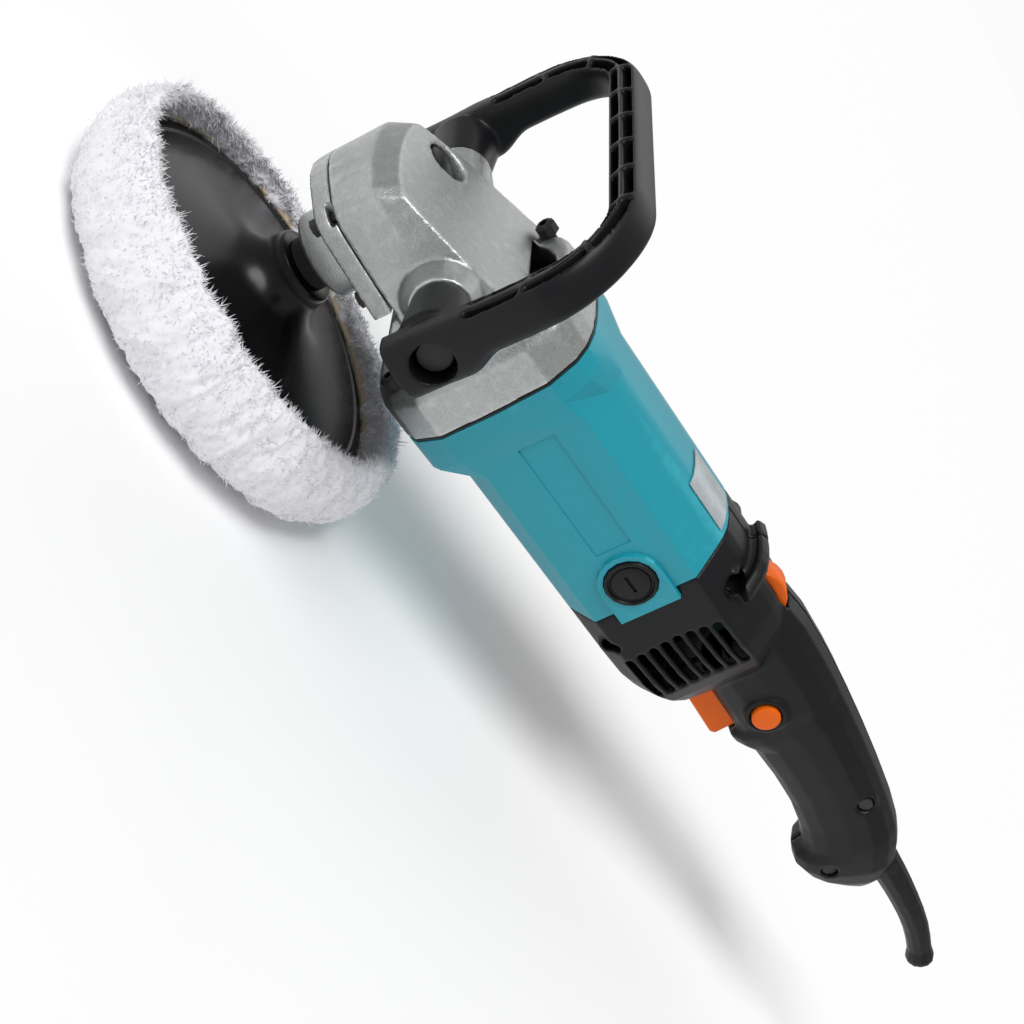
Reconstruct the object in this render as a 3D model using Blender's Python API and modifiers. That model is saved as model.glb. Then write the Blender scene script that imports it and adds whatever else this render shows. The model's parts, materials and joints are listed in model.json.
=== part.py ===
"""Rotary polisher: a bevel-gear head with a wool bonnet, a loop handle, and a motor body ending in a grip.

Numbers are millimetres and become metres as meshes are made. +X runs back along the motor, +Z runs up the
spindle and -Y is the operator's left. The origin is the centre of the bonnet's flat bottom face.
"""
import math

import bmesh
import bpy
from mathutils import Matrix, Vector

MM = 0.001
GAP = 0.3

BONNET_DRIFT = 2.5
PAD_RADIUS = 85.0
COVER_Z = 75.0
HEAD_Z = 83.3
MOTOR_Z = 97.3
FLANGE_X = 74.7
MOTOR_X = 76.1
MOTOR_END_X = 191.5
SHELL_X = 191.8
BODY_HALF_WIDTH = 39.9
BODY_HALF_HEIGHT = 42.3
FLANGE_HALF_WIDTH = 45.4
FLANGE_HALF_HEIGHT = 47.0
FLANGE_Z = MOTOR_Z - 3.0
WALL = 3.2

GEAR_TEETH = 24
PINION_TEETH = 6
GEAR_RADIUS = 26.0
PINION_RADIUS = GEAR_RADIUS * PINION_TEETH / GEAR_TEETH
TOOTH_INNER = 0.76
ADDENDUM = 1.3
DEDENDUM = 1.95

PIVOT = (19.5, 106.5)
ARM_X = (7.5, 26.0)
ARM_Y = (80.0, 97.5)
LUG_Y = 57.0
CORNER = (20.0, 44.0)
ARM_TAPER = 0.06
ARM_LEAN = 0.06
BAR_Z = (180.5, 194.5)
LOCK_Y = 24.0
BRUSH_X = 179.0
DIAL = (237.0, -3.0, 127.0)
DIAL_RADIUS = 16.0
BUTTON = (291.0, 105.2)

# Shell screws: x, z and how far each post reaches to either side.
SCREW_SPOTS = {"top": (211.5, 130.5, 27.0), "bottom": (210.0, 70.0, 34.0), "grip": (370.6, 118.4, 17.0),
               "heel": (402.5, 83.4, 17.6)}

FINISHES = {
    "wool": ((0.90, 0.89, 0.91), 0.95, 0.0),
    "cast_aluminium": ((0.62, 0.63, 0.64), 0.45, 1.0),
    "steel": ((0.50, 0.50, 0.51), 0.30, 1.0),
    "dark_steel": ((0.05, 0.05, 0.055), 0.40, 1.0),
    "copper": ((0.72, 0.35, 0.20), 0.35, 1.0),
    "brass": ((0.75, 0.58, 0.28), 0.35, 1.0),
    "teal_plastic": ((0.02, 0.36, 0.42), 0.40, 0.0),
    "black_plastic": ((0.03, 0.03, 0.033), 0.55, 0.0),
    "black_rubber": ((0.015, 0.015, 0.016), 0.35, 0.0),
    "orange_plastic": ((0.85, 0.20, 0.02), 0.40, 0.0),
    "board_green": ((0.02, 0.20, 0.08), 0.50, 0.0),
    "carbon": ((0.04, 0.04, 0.04), 0.60, 0.0),
    "label_film": ((0.75, 0.77, 0.78), 0.35, 0.0),
}

TURNS = {"Z": (0.0, 0.0, 0.0), "X": (0.0, math.pi / 2, 0.0), "Y": (-math.pi / 2, 0.0, 0.0),
         "-Y": (math.pi / 2, 0.0, 0.0)}

# Right half of the motor body's section, from top centre to bottom centre, as shares of half width and height.
BODY_SHAPE = [(0.0, 1.0), (0.2, 0.993), (0.376, 0.967), (0.514, 0.913), (0.652, 0.827), (1.0, 0.586), (1.0, 0.0)]
FLANGE_SHAPE = [(0.0, 1.0), (0.25, 0.993), (0.47, 0.97), (0.66, 0.91), (0.81, 0.81), (0.97, 0.54), (1.0, 0.0)]

# Grip sections: x and z of the top point, x and z of the bottom point, half width.
GRIP_RINGS = [
    (238.0, 140.0, 238.0, 84.0, 22.5), (263.0, 142.3, 268.0, 84.5, 22.5), (285.0, 141.2, 288.0, 84.0, 22.3),
    (300.5, 139.8, 300.5, 83.8, 22.0), (305.0, 139.3, 304.2, 78.6, 21.8), (311.0, 138.6, 309.8, 79.2, 21.7),
    (318.0, 137.7, 317.0, 84.4, 21.5), (340.0, 134.8, 338.0, 84.9, 21.0), (362.0, 131.4, 358.0, 83.8, 20.5),
    (384.0, 127.4, 376.0, 80.3, 20.5), (400.0, 123.4, 389.5, 75.5, 21.0), (410.0, 119.4, 391.5, 68.8, 21.0),
    (420.0, 113.4, 397.0, 66.4, 20.5), (427.5, 105.0, 405.0, 68.0, 18.0), (431.5, 96.0, 412.0, 73.0, 13.5),
    (432.5, 91.0, 418.5, 80.0, 8.0),
]
GUARD_PATH = [(407.0, 103.5), (424.0, 103.6), (435.0, 103.0), (446.0, 102.2), (457.0, 101.0), (468.0, 99.5),
              (479.0, 97.3), (488.0, 94.6), (495.5, 91.9), (501.0, 89.6)]


def collection(name):
    """Makes a collection under the scene."""
    made = bpy.data.collections.new(name)
    bpy.context.scene.collection.children.link(made)
    return made


def clear_scene():
    """Removes the objects that the file opened with."""
    for old in list(bpy.data.objects):
        bpy.data.objects.remove(old, do_unlink=True)


clear_scene()
PARTS = collection("rotary_polisher")
CUTTERS = collection("cutters")


def add(name, mesh, finish=None):
    """Links a mesh as a painted part, or as a hidden cutter when no finish is given."""
    obj = bpy.data.objects.new(name, mesh)
    if finish is None:
        CUTTERS.objects.link(obj)
        obj.hide_render = True
        obj.display_type = "WIRE"
        return obj
    PARTS.objects.link(obj)
    colour, roughness, metallic = FINISHES[finish]
    paint = bpy.data.materials.new(name)
    paint.use_nodes = True
    shader = paint.node_tree.nodes["Principled BSDF"]
    shader.inputs["Base Color"].default_value = (*colour, 1.0)
    shader.inputs["Roughness"].default_value = roughness
    shader.inputs["Metallic"].default_value = metallic
    mesh.materials.append(paint)
    return obj


def finish_mesh(name, bm, smooth_angle=None):
    """Turns bmesh data in millimetres into a mesh in metres, with its faces pointing out."""
    bmesh.ops.scale(bm, vec=(MM, MM, MM), verts=bm.verts)
    bmesh.ops.recalc_face_normals(bm, faces=bm.faces)
    mesh = bpy.data.meshes.new(name)
    bm.to_mesh(mesh)
    bm.free()
    if smooth_angle:
        mesh.shade_smooth()
        mesh.set_sharp_from_angle(angle=math.radians(smooth_angle))
    return mesh


def set_origin(obj, point):
    """Moves an object's origin to a point without moving its mesh."""
    offset = Vector(point) * MM - obj.location
    obj.data.transform(Matrix.Translation(-offset))
    obj.location = Vector(point) * MM
    return obj


def box(name, low, high, finish=None):
    """A box between two corners."""
    bm = bmesh.new()
    bmesh.ops.create_cube(bm, size=1.0)
    bmesh.ops.scale(bm, vec=[b - a for a, b in zip(low, high)], verts=bm.verts)
    bmesh.ops.translate(bm, vec=[(a + b) / 2 for a, b in zip(low, high)], verts=bm.verts)
    return add(name, finish_mesh(name, bm), finish)


def rod(name, start, end, radius, finish=None, sides=12, end_radius=None):
    """A round bar, or a cone frustum, between two points."""
    start, end = Vector(start), Vector(end)
    along = end - start
    last = radius if end_radius is None else end_radius
    bm = bmesh.new()
    bmesh.ops.create_cone(bm, cap_ends=True, segments=sides, radius1=radius, radius2=last, depth=along.length)
    turn = along.to_track_quat("Z", "Y").to_matrix().to_4x4()
    bmesh.ops.transform(bm, matrix=Matrix.Translation((start + end) / 2) @ turn, verts=bm.verts)
    return add(name, finish_mesh(name, bm, 40), finish)


def turned(name, profile, centre, axis="Z", finish=None, steps=24, ring=False):
    """Turns (radius, height) points, listed down the outer side, about an axis through a centre."""
    bm = bmesh.new()
    points = [bm.verts.new((radius * MM, 0.0, height * MM)) for radius, height in profile]
    for first, second in zip(points, points[1:]):
        bm.edges.new((first, second))
    if ring:
        bm.edges.new((points[-1], points[0]))
    mesh = bpy.data.meshes.new(name)
    bm.to_mesh(mesh)
    bm.free()
    obj = add(name, mesh, finish)
    obj.location = Vector(centre) * MM
    obj.rotation_euler = TURNS[axis]
    screw = obj.modifiers.new("Turn", "SCREW")
    screw.steps = steps
    screw.render_steps = steps
    screw.use_merge_vertices = True
    screw.merge_threshold = 0.00001
    return obj


def loft(name, rings, finish=None, smooth_angle=35):
    """Skins closed rings of equal length in order, and caps both ends."""
    bm = bmesh.new()
    loops = [[bm.verts.new(point) for point in ring] for ring in rings]
    count = len(loops[0])
    for low, high in zip(loops, loops[1:]):
        for i in range(count):
            j = (i + 1) % count
            bm.faces.new((low[i], low[j], high[j], high[i]))
    bm.faces.new(list(reversed(loops[0])))
    bm.faces.new(loops[-1])
    return add(name, finish_mesh(name, bm, smooth_angle), finish)


def outline(name, points, low_x, high_x, finish=None):
    """A flat (y, z) outline, extruded along X between two stations."""
    curve = bpy.data.curves.new(name, "CURVE")
    curve.dimensions = "2D"
    curve.fill_mode = "BOTH"
    curve.extrude = (high_x - low_x) / 2 * MM
    spline = curve.splines.new("POLY")
    spline.points.add(len(points) - 1)
    for slot, (y, z) in zip(spline.points, points):
        slot.co = (y * MM, z * MM, 0.0, 1.0)
    spline.use_cyclic_u = True
    guide = bpy.data.objects.new(name + "_curve", curve)
    bpy.context.scene.collection.objects.link(guide)
    bpy.context.view_layer.update()
    mesh = bpy.data.meshes.new_from_object(guide.evaluated_get(bpy.context.evaluated_depsgraph_get()))
    bpy.data.objects.remove(guide, do_unlink=True)
    stand = Matrix(((0, 0, 1, 0), (1, 0, 0, 0), (0, 1, 0, 0), (0, 0, 0, 1)))
    mesh.transform(Matrix.Translation(((low_x + high_x) / 2 * MM, 0.0, 0.0)) @ stand)
    weld(mesh)
    return add(name, mesh, finish)


def tube(name, points, radius, finish=None, resolution=2):
    """A round bar along a list of points."""
    curve = bpy.data.curves.new(name, "CURVE")
    curve.dimensions = "3D"
    curve.bevel_depth = radius * MM
    curve.bevel_resolution = resolution
    curve.use_fill_caps = True
    spline = curve.splines.new("POLY")
    spline.points.add(len(points) - 1)
    for slot, point in zip(spline.points, points):
        slot.co = (*(value * MM for value in point), 1.0)
    guide = bpy.data.objects.new(name + "_curve", curve)
    bpy.context.scene.collection.objects.link(guide)
    bpy.context.view_layer.update()
    mesh = bpy.data.meshes.new_from_object(guide.evaluated_get(bpy.context.evaluated_depsgraph_get()))
    bpy.data.objects.remove(guide, do_unlink=True)
    weld(mesh)
    return add(name, mesh, finish)


def weld(mesh):
    """Welds a converted curve's caps to its sides."""
    bm = bmesh.new()
    bm.from_mesh(mesh)
    bmesh.ops.remove_doubles(bm, verts=bm.verts, dist=0.000001)
    bmesh.ops.recalc_face_normals(bm, faces=bm.faces)
    bm.to_mesh(mesh)
    bm.free()


def boolean(target, operation, *tools, solver="EXACT"):
    """Adds one Boolean for each tool."""
    for tool in tools:
        step = target.modifiers.new(tool.name, "BOOLEAN")
        step.operation = operation
        step.object = tool
        step.solver = solver
    return target


def cut(target, *tools, solver="EXACT"):
    """Cuts tools out of a part."""
    return boolean(target, "DIFFERENCE", *tools, solver=solver)


def join(target, *tools):
    """Joins shapes to a part."""
    return boolean(target, "UNION", *tools)


def bevel(obj, width, segments=2, angle=40):
    """Rounds an object's edges that are sharper than an angle."""
    step = obj.modifiers.new("Round", "BEVEL")
    step.width = width * MM
    step.segments = segments
    step.limit_method = "ANGLE"
    step.angle_limit = math.radians(angle)
    return obj


def section(x, half_width, half_height, shape=BODY_SHAPE, centre_z=MOTOR_Z, lean=0.0):
    """One ring of the motor body's eight-sided section. Lean moves its lower half back."""
    right = [(share_y, share_z) for share_y, share_z in shape]
    right += [(share_y, -share_z) for share_y, share_z in reversed(shape[:-1])]
    left = [(-share_y, share_z) for share_y, share_z in reversed(right[1:-1])]
    return [(x + lean * max(0.0, -share_z), share_y * half_width, centre_z + share_z * half_height)
            for share_y, share_z in right + left]


def arc(centre, radius, start, end, count):
    """Points on an arc, angles in degrees."""
    turns = [math.radians(start + (end - start) * i / (count - 1)) for i in range(count)]
    return [(centre[0] + radius * math.cos(turn), centre[1] + radius * math.sin(turn)) for turn in turns]


def coil(name, centre, axis, radius, length, turns, wire, finish="steel"):
    """A compression spring along an axis from a centre."""
    count = turns * 8
    points = []
    for i in range(count + 1):
        angle = 2 * math.pi * i / 8
        side = (radius * math.cos(angle), radius * math.sin(angle))
        rise = length * i / count
        local = Vector((side[0], side[1], rise))
        points.append(Vector(centre) + Vector((0, 0, 1)).rotation_difference(Vector(axis)) @ local)
    return tube(name, points, wire, finish, resolution=0)


# Bonnet, backing pad and spindle

def rim_height(angle):
    """Share of the bonnet's full turned-up fringe, deepest on the left front and lowest at the right."""
    share = 0.5 + 0.5 * math.cos(angle - math.radians(-112.0))
    return share ** 0.8


def wool_bonnet():
    """Fleece disc under the pad whose edge turns up round the rim."""
    count = 36
    rings = []
    for base_r, base_z, turn_r, turn_z in (
            (30, 0, 0, 0), (80, 0, 0, 0), (89.5, 3.5, 0, 0), (95.5, 10, 0, 0), (96.5, 15, 0, 3), (95, 19.5, -3, 12),
            (93.4, 22.5, -6, 19.5), (92.2, 23.5, -6, 21), (91, 22.5, -6.5, 19.5), (86.2, 19, -1, 8), (85.8, 11.2, 0, 0),
            (30, 11.2, 0, 0)):
        ring = []
        for i in range(count):
            angle = 2 * math.pi * i / count
            share = rim_height(angle)
            radius = base_r + turn_r * share
            if base_r > 88:
                radius += BONNET_DRIFT * math.cos(angle - math.radians(-25.0))
            ring.append((radius * math.cos(angle), radius * math.sin(angle), base_z + turn_z * share))
        rings.append(ring)
    return loft("wool_bonnet", rings, "wool")


def backing_pad():
    """Rubber disc with a trumpet-shaped back, closed over its threaded insert."""
    profile = [(16.0, 49.0), (16.4, 46.0), (17.4, 42.0), (20.5, 36.8), (26.0, 32.2), (36.0, 27.8), (50.0, 23.8),
               (66.0, 20.2), (78.0, 17.6), (84.2, 16.4), (PAD_RADIUS, 15.2), (PAD_RADIUS, 13.2), (83.6, 11.8),
               (11.3, 11.8), (11.3, 46.3), (7.6, 46.3), (7.6, 49.0)]
    return turned("backing_pad", profile, (0, 0, 0), finish="black_rubber", steps=32, ring=True)


def spindle_group():
    """Spindle, its pad insert and its two bearings."""
    turned("pad_thread_insert", [(11.0, 46.0), (11.0, 12.1), (7.3, 12.1), (7.3, 46.0)], (0, 0, 0),
           finish="steel", steps=16, ring=True)
    turned("spindle", [(0, 104.6), (5.5, 104.6), (5.5, 95.4), (6.0, 95.2), (6.0, 83.9), (8.4, 83.7), (8.4, 71.5),
                       (7.0, 71.3), (7.0, 60.0), (8.4, 59.8), (8.4, 56.8), (11.4, 56.6), (11.4, 49.4), (7.0, 49.2),
                       (7.0, 14.5), (6.0, 13.5), (0, 13.5)], (0, 0, 0), finish="steel", steps=20)
    turned("lower_bearing", [(14.0, 70.6), (14.0, 60.4), (7.4, 60.4), (7.4, 70.6)], (0, 0, 0), finish="steel",
           steps=20, ring=True)
    turned("upper_bearing", [(9.5, 104.4), (9.5, 96.4), (5.9, 96.4), (5.9, 104.4)], (0, 0, 0), finish="steel",
           steps=16, ring=True)


def tooth_ring(teeth, radius_share, phase, tip, root, widths):
    """Angles and pitch offsets of one ring of teeth, four points a tooth."""
    points = []
    pitch = 2 * math.pi / teeth
    for tooth in range(teeth):
        middle = phase + pitch * tooth
        for width, offset in ((-widths[1], -root), (-widths[0], tip), (widths[0], tip), (widths[1], -root)):
            points.append((middle + pitch * width / 2, offset * radius_share))
    return points


def bevel_gear():
    """Spindle gear: teeth on a shallow cone that points at the crossing of the two shafts."""
    rings = []
    for share, base in ((1.0, True), (1.0, False), (TOOTH_INNER, False), (TOOTH_INNER, True)):
        radius = GEAR_RADIUS * share
        pitch_z = MOTOR_Z - PINION_RADIUS * share
        ring = []
        for angle, offset in tooth_ring(GEAR_TEETH, share, math.pi / GEAR_TEETH, ADDENDUM, DEDENDUM, (0.22, 0.46)):
            z = 85.5 if base else pitch_z + offset
            ring.append((radius * math.cos(angle), radius * math.sin(angle), z))
        rings.append(ring)
    bm = bmesh.new()
    loops = [[bm.verts.new(point) for point in ring] for ring in rings]
    count = len(loops[0])
    for k in range(4):
        low, high = loops[k], loops[(k + 1) % 4]
        for i in range(count):
            j = (i + 1) % count
            bm.faces.new((low[i], low[j], high[j], high[i]))
    teeth = add("gear_teeth", finish_mesh("gear_teeth", bm))
    gear = turned("bevel_gear", [(11.0, 93.6), (11.0, 87.2), (22.0, 86.8), (26.0, 86.3), (26.0, 84.2), (6.3, 84.2),
                                 (6.3, 93.6)], (0, 0, 0), finish="steel", ring=True)
    join(gear, teeth)


def pinion():
    """Armature pinion, with its tooth spaces cut to the same cone, and a hub bored for the shaft."""
    rings = []
    for share in (TOOTH_INNER, 1.0):
        ring = []
        for angle, offset in tooth_ring(PINION_TEETH, share, -math.pi / 2, ADDENDUM, DEDENDUM, (0.16, 0.46)):
            radius = PINION_RADIUS * share + offset
            ring.append((GEAR_RADIUS * share, radius * math.cos(angle), MOTOR_Z + radius * math.sin(angle)))
        rings.append(ring)
    teeth = loft("pinion", rings, "steel", None)
    join(teeth, rod("pinion_neck", (25.0, 0, MOTOR_Z), (27.4, 0, MOTOR_Z), 4.2),
         rod("pinion_hub", (26.5, 0, MOTOR_Z), (31.8, 0, MOTOR_Z), 6.0))
    cut(teeth, rod("pinion_bore", (28.0, 0, MOTOR_Z), (33.0, 0, MOTOR_Z), 3.3))


# Gear head

COVER_OUTLINE = [(-34.0, 0.0), (-33.6, 6.0), (-31.8, 13.0), (-29.0, 20.5), (-26.6, 27.0), (-23.3, 31.8),
                 (-18.0, 34.6), (-8.0, 36.9), (6.0, 39.5)]
BROW_OUTLINE = [(-34.0, 0.0), (-33.8, 7.0), (-33.2, 15.0), (-32.0, 23.0), (-30.2, 29.5), (-26.8, 33.8),
                (-19.0, 36.2), (-8.0, 38.0), (6.0, 40.0)]


def head_ring(z, rear_x, rear_y, stretch=1.0, narrow=1.0, slope=0.0, shape=COVER_OUTLINE):
    """One level ring of the head's outline. Stretch pulls its nose back, slope tilts it up towards the rear."""
    right = [(rear_x - (rear_x - x) * stretch, y * narrow) for x, y in shape + [(rear_x, rear_y)]]
    left = [(x, -y) for x, y in reversed(right[1:])]
    return [(x, y, z + slope * (x - rear_x)) for x, y in right + left]


def flange_screw_holes():
    """Holes for the four screws that tie head, gasket and motor housing together."""
    return [rod(f"flange_hole_{i}", (48.0, y, z), (88.0, y, z), 2.3, sides=10)
            for i, (y, z) in enumerate(flange_spots())]


def flange_spots():
    """Centres of the flange screws, as (y, z)."""
    return [(y, z) for y in (-31.0, 31.0) for z in (61.4, 132.0)]


def cover_spots():
    """Centres of the cover screws, as (x, y)."""
    return [(x, side * y) for x, y in ((-21.0, 26.0), (11.0, 32.0)) for side in (-1, 1)]


def gear_cover():
    """Plate that closes the head from below, with a retainer for the spindle's lower bearing under it."""
    cover = loft("gear_cover", [head_ring(COVER_Z, 18.3, 41.4, narrow=0.985), head_ring(83.0, 18.3, 41.8)],
                 "cast_aluminium")
    cut(cover, rod("cover_bore", (0, 0, 70), (0, 0, 90), 12.0, sides=24),
        box("cover_notch", (-29.5, -33.0, 80.4), (-19.5, -24.0, 84.0)))
    for i, (x, y) in enumerate(cover_spots()):
        cut(cover, rod(f"cover_hole_{i}", (x, y, 72), (x, y, 93.5), 2.3, sides=10))
        turned(f"cover_screw_{i + 1}", [(0, 92.5), (2.0, 92.5), (2.0, 74.7), (3.8, 74.7), (3.8, 71.6), (0, 71.6)],
               (x, y, 0), finish="dark_steel", steps=8)
    turned("bearing_retainer", [(18.4, 74.7), (18.4, 58.2), (17.2, 56.9), (9.0, 56.9), (9.0, 60.1), (14.3, 60.1),
                                (14.3, 74.7)], (0, 0, 0), finish="cast_aluminium", steps=24, ring=True)


def gear_housing():
    """Cast head: a sloping box that swells into the motor flange, with a cross boss for the loop handle."""
    head = loft("gear_housing", [head_ring(HEAD_Z, 54.0, 43.8), head_ring(104.5, 54.0, 43.2, 0.945, 0.99, 0.03, BROW_OUTLINE),
                                 head_ring(127.5, 54.0, 42.5, 0.875, 0.97, 0.22, BROW_OUTLINE)],
                "cast_aluminium")
    bevel(head, 5.0, 2, 42)
    flange = loft("flange_body", [
        section(51.5, 40.5, 42.5, FLANGE_SHAPE, FLANGE_Z), section(54.0, 43.5, 45.5, FLANGE_SHAPE, FLANGE_Z),
        section(58.0, 45.4, 47.0, FLANGE_SHAPE, FLANGE_Z),
        section(FLANGE_X, FLANGE_HALF_WIDTH, FLANGE_HALF_HEIGHT, FLANGE_SHAPE, FLANGE_Z)])
    belly = rod("belly", (38.5, -39.5, 90.0), (38.5, 39.5, 90.0), 19.0, sides=20)
    join(head, flange, belly)
    for side in (-1, 1):
        root = [(x, side * 36.0, z) for x, z in arc((PIVOT[0] + 5.0, PIVOT[1] - 4.5), 17.5, 0, 342, 20)]
        end = [(x, side * LUG_Y, z) for x, z in arc(PIVOT, 13.0, 0, 342, 20)]
        join(head, loft(f"handle_lug_{side}", [root, end]))
    for side in (-1, 1):
        cut(head, rod(f"pivot_hole_{side}", (PIVOT[0], side * 40.0, PIVOT[1]), (PIVOT[0], side * 60.0, PIVOT[1]), 4.3))
    cut(head,
        rod("gear_chamber", (0, 0, 70), (0, 0, 95.6), 27.4, sides=24),
        rod("pinion_tunnel", (12.0, 0, MOTOR_Z), (36.2, 0, MOTOR_Z), 9.2, sides=12),
        rod("upper_bearing_pocket", (0, 0, 90), (0, 0, 105.0), 9.9, sides=20),
        rod("front_bearing_pocket", (35.8, 0, MOTOR_Z), (49.0, 0, MOTOR_Z), 13.3, sides=24),
        rod("fan_chamber", (48.0, 0, MOTOR_Z), (80.0, 0, MOTOR_Z), 38.6, sides=24),
        rod("lock_recess", (0, LOCK_Y, 104.8), (0, LOCK_Y, 125), 9.5, sides=18),
        rod("lock_well", (0, LOCK_Y, 98.0), (0, LOCK_Y, 110), 4.3),
        rod("lock_bore", (0, LOCK_Y, 90.0), (0, LOCK_Y, 110), 2.1, sides=12),
        rod("driver_groove", (26.0, -6.0, 126.6), (50.0, -6.0, 130.6), 4.6, sides=16))
    for i, spot in enumerate(cover_spots()):
        cut(head, bpy.data.objects[f"cover_hole_{i}"])
    cut(head, *flange_screw_holes())
    slots = [box(f"exhaust_{i}", (60.0, y - 3.0, 40.0), (70.0, y + 3.0, 62.0)) for i, y in enumerate((-14, 0, 14))]
    cut(head, *slots)
    for i, (y, z) in enumerate(flange_spots()):
        turned(f"flange_screw_{i + 1}", [(0, 86.0), (2.0, 86.0), (2.0, 51.2), (4.6, 51.2), (4.6, 46.8), (3.2, 45.6),
                                         (2.0, 45.6), (2.0, 47.4), (0, 47.4)], (0, y, z), "X", "dark_steel", 8)


def shaft_lock():
    """Button, pin and spring that lock the spindle: the pin drops into a tooth space of the bevel gear."""
    spot = (0, LOCK_Y, 0)
    turned("shaft_lock_button", [(0, 114.2), (6.2, 114.0), (8.2, 113.2), (9.0, 111.6), (9.0, 108.9), (0, 108.9)], spot,
           finish="black_plastic", steps=18)
    turned("shaft_lock_pin", [(0, 108.6), (1.7, 108.6), (1.7, 95.0), (0.9, 93.4), (0, 93.4)], spot, finish="steel",
           steps=12)
    coil("shaft_lock_spring", (0, LOCK_Y, 98.7), (0, 0, 1), 3.1, 9.4, 4, 0.4)


# Loop handle

def arm_place(y, z):
    """Where a point of the straight loop's outline goes once its arms close in towards the bar."""
    return y - math.copysign(ARM_TAPER * max(0.0, z - PIVOT[1]), y) * min(1.0, abs(y) / ARM_Y[0]), z


def lean(obj):
    """Leans a shape back about the handle's pivot."""
    shear = Matrix.Identity(4)
    shear[0][2] = ARM_LEAN
    shear[0][3] = -ARM_LEAN * PIVOT[1] * MM
    obj.data.transform(shear)
    return obj


def pocket(name, spot, along, length, width):
    """A rectangular pocket cut into the handle's front face, along a direction in the YZ plane."""
    bm = bmesh.new()
    bmesh.ops.create_cube(bm, size=1.0)
    bmesh.ops.scale(bm, vec=(20.0, length, width), verts=bm.verts)
    turn = Matrix.Rotation(math.radians(along), 4, "X")
    centre = arm_place(*spot)
    bmesh.ops.transform(bm, matrix=Matrix.Translation((ARM_X[0], *centre)) @ turn, verts=bm.verts)
    return lean(add(name, finish_mesh(name, bm)))


def loop_handle():
    """Moulded loop over the head: two arms bolted to the lugs and a bar, with ribbed pockets in front."""
    inner, outer = ARM_Y
    foot = PIVOT[1] - 15.5
    right = [(inner, foot + 3.5), (inner + 3, foot), (outer - 4, foot), (outer, foot + 4.5)]
    right += arc((outer - CORNER[1], BAR_Z[1] - CORNER[1]), CORNER[1], 0, 90, 9)
    inside = arc((inner - CORNER[0], BAR_Z[0] - CORNER[0]), CORNER[0], 90, 0, 6)
    points = right + [(-y, z) for y, z in reversed(right)] + [(-y, z) for y, z in reversed(inside)] + inside
    points = [arm_place(y, z) for y, z in points]
    handle = lean(outline("loop_handle", points, ARM_X[0], ARM_X[1], "black_plastic"))
    bevel(handle, 4.2, 2, 50)
    bosses = [rod(f"arm_boss_{side}", (PIVOT[0], side * (LUG_Y + GAP), PIVOT[1]),
                  (PIVOT[0], side * (inner + 4.0), PIVOT[1]), 12.0, sides=20, end_radius=15.0) for side in (-1, 1)]
    boolean(handle, "UNION", *bosses, solver="MANIFOLD")
    tools = []
    middle = (inner - CORNER[0], BAR_Z[0] - CORNER[0])
    for side in (-1, 1):
        for row, y in enumerate((inner + 5.0, inner + 11.6)):
            for step, z in enumerate((130.0, 149.0)):
                tools.append(pocket(f"arm_pocket_{side}_{row}_{step}", (side * y, z), 90, 16.5, 4.6))
        for row, radius in enumerate((24.6, 30.4)):
            spot = (side * (middle[0] + radius * 0.7071), middle[1] + radius * 0.7071)
            tools.append(pocket(f"corner_pocket_{side}_{row}", spot, -45 * side, 13.0 + row * 6.0, 4.0))
        for row, z in enumerate((BAR_Z[0] + 4.3, BAR_Z[0] + 9.7)):
            for step, y in enumerate((12.5, 37.0)):
                tools.append(pocket(f"bar_pocket_{side}_{row}_{step}", (side * y, z), 0, 22.0, 4.0))
        tools.append(rod(f"bolt_recess_{side}", (PIVOT[0], side * (inner + 6), PIVOT[1]),
                         (PIVOT[0], side * (outer + 9), PIVOT[1]), 8.7, sides=16))
        tools.append(rod(f"bolt_hole_{side}", (PIVOT[0], side * (LUG_Y - 6), PIVOT[1]),
                         (PIVOT[0], side * (outer + 9), PIVOT[1]), 4.3))
        turned("loop_bolt_left" if side < 0 else "loop_bolt_right",
               [(0, inner + 11), (6.6, inner + 10.6), (7.0, inner + 6.3), (4.0, inner + 6.3), (4.0, 42.0), (0, 42.0)],
               (PIVOT[0], 0, PIVOT[1]),
               "-Y" if side < 0 else "Y", "dark_steel", 16)
    cut(handle, *tools, solver="MANIFOLD")


# Motor

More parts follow.
